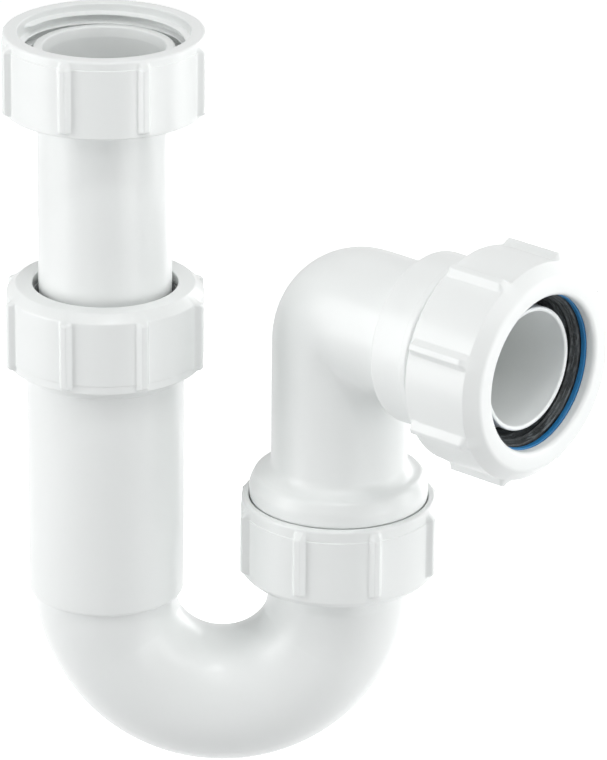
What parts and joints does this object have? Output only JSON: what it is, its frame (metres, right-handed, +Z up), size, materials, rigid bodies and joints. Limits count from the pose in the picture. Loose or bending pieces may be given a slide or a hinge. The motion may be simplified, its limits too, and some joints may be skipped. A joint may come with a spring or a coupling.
{
  "type": "adjustable p trap",
  "caption": "Adjustable tubular P trap for a basin waste: telescopic inlet with ribbed nuts, U bend with a swivel joint and an elbow outlet that grips a waste pipe.",
  "frame": {"origin": "centre of the inlet nut's open mouth, on the inlet axis", "axes": "+Z up along the inlet, +X from the inlet leg to the outlet leg, outlet stored swivelled towards -Y, real size"},
  "size_m": [0.147, 0.0856, 0.1928],
  "materials": {
    "white_plastic": "moulded white polypropylene, soft gloss",
    "black_rubber": "moulded black rubber, matt",
    "blue_plastic": "moulded blue plastic, satin"
  },
  "bodies": {
    "inlet_nut": {"inlet_nut": "white_plastic"},
    "inlet_tail": {"inlet_tail": "white_plastic", "inlet_washer": "black_rubber"},
    "slip_seal": {"slip_seal": "black_rubber"},
    "trap_body": {"trap_body": "white_plastic"},
    "slip_ring": {"slip_ring": "white_plastic"},
    "compression_nut": {"compression_nut": "white_plastic"},
    "swivel_nut": {"swivel_nut": "white_plastic"},
    "swivel_seal": {"swivel_seal": "black_rubber"},
    "outlet_elbow": {"outlet_elbow": "white_plastic", "outlet_seal": "black_rubber"},
    "outlet_slip_ring": {"outlet_slip_ring": "blue_plastic"},
    "outlet_nut": {"outlet_nut": "white_plastic"}
  },
  "joints": [
    {"name": "inlet_turn", "type": "hinge", "parent": "inlet_nut", "child": "inlet_tail", "pos_m": [0, 0, 0], "axis": [0, 0, 1], "continuous": true},
    {"name": "height_slide", "type": "slide", "parent": "inlet_tail", "child": "slip_seal", "axis": [0, 0, 1], "range_m": [-0.015, 0.036]},
    {"name": "trap_turn", "type": "hinge", "parent": "slip_seal", "child": "trap_body", "pos_m": [0, 0, -0.0745], "axis": [0, 0, 1], "continuous": true},
    {"name": "slip_ring_lift", "type": "slide", "parent": "trap_body", "child": "slip_ring", "axis": [0, 0, 1], "range_m": [0, 0.007]},
    {"name": "compression_nut_turn", "type": "hinge", "parent": "slip_ring", "child": "compression_nut", "pos_m": [0, 0, -0.075], "axis": [0, 0, 1], "range_deg": [0, 1080]},
    {"name": "swivel_nut_turn", "type": "hinge", "parent": "trap_body", "child": "swivel_nut", "pos_m": [0.058, 0, -0.132], "axis": [0, 0, -1], "range_deg": [0, 720]},
    {"name": "elbow_lift", "type": "slide", "parent": "trap_body", "child": "swivel_seal", "axis": [0, 0, 1], "range_m": [0, 0.0047]},
    {"name": "elbow_swivel", "type": "hinge", "parent": "swivel_seal", "child": "outlet_elbow", "pos_m": [0.058, 0, -0.0713], "axis": [0, 0, 1], "range_deg": [-75, 158]},
    {"name": "outlet_ring_slide", "type": "slide", "parent": "outlet_elbow", "child": "outlet_slip_ring", "axis": [0.7513, -0.66, 0], "range_m": [0, 0.0047]},
    {"name": "outlet_nut_turn", "type": "hinge", "parent": "outlet_slip_ring", "child": "outlet_nut", "pos_m": [0.10638, -0.0425, -0.0713], "axis": [0.7513, -0.66, 0], "range_deg": [0, 720]}
  ],
  "couplings": [
    {"joint": "slip_ring_lift", "follows": "compression_nut_turn", "m_per_rad": 0.00036749},
    {"joint": "elbow_lift", "follows": "swivel_nut_turn", "m_per_rad": 0.00036749},
    {"joint": "outlet_ring_slide", "follows": "outlet_nut_turn", "m_per_rad": 0.00036749}
  ]
}
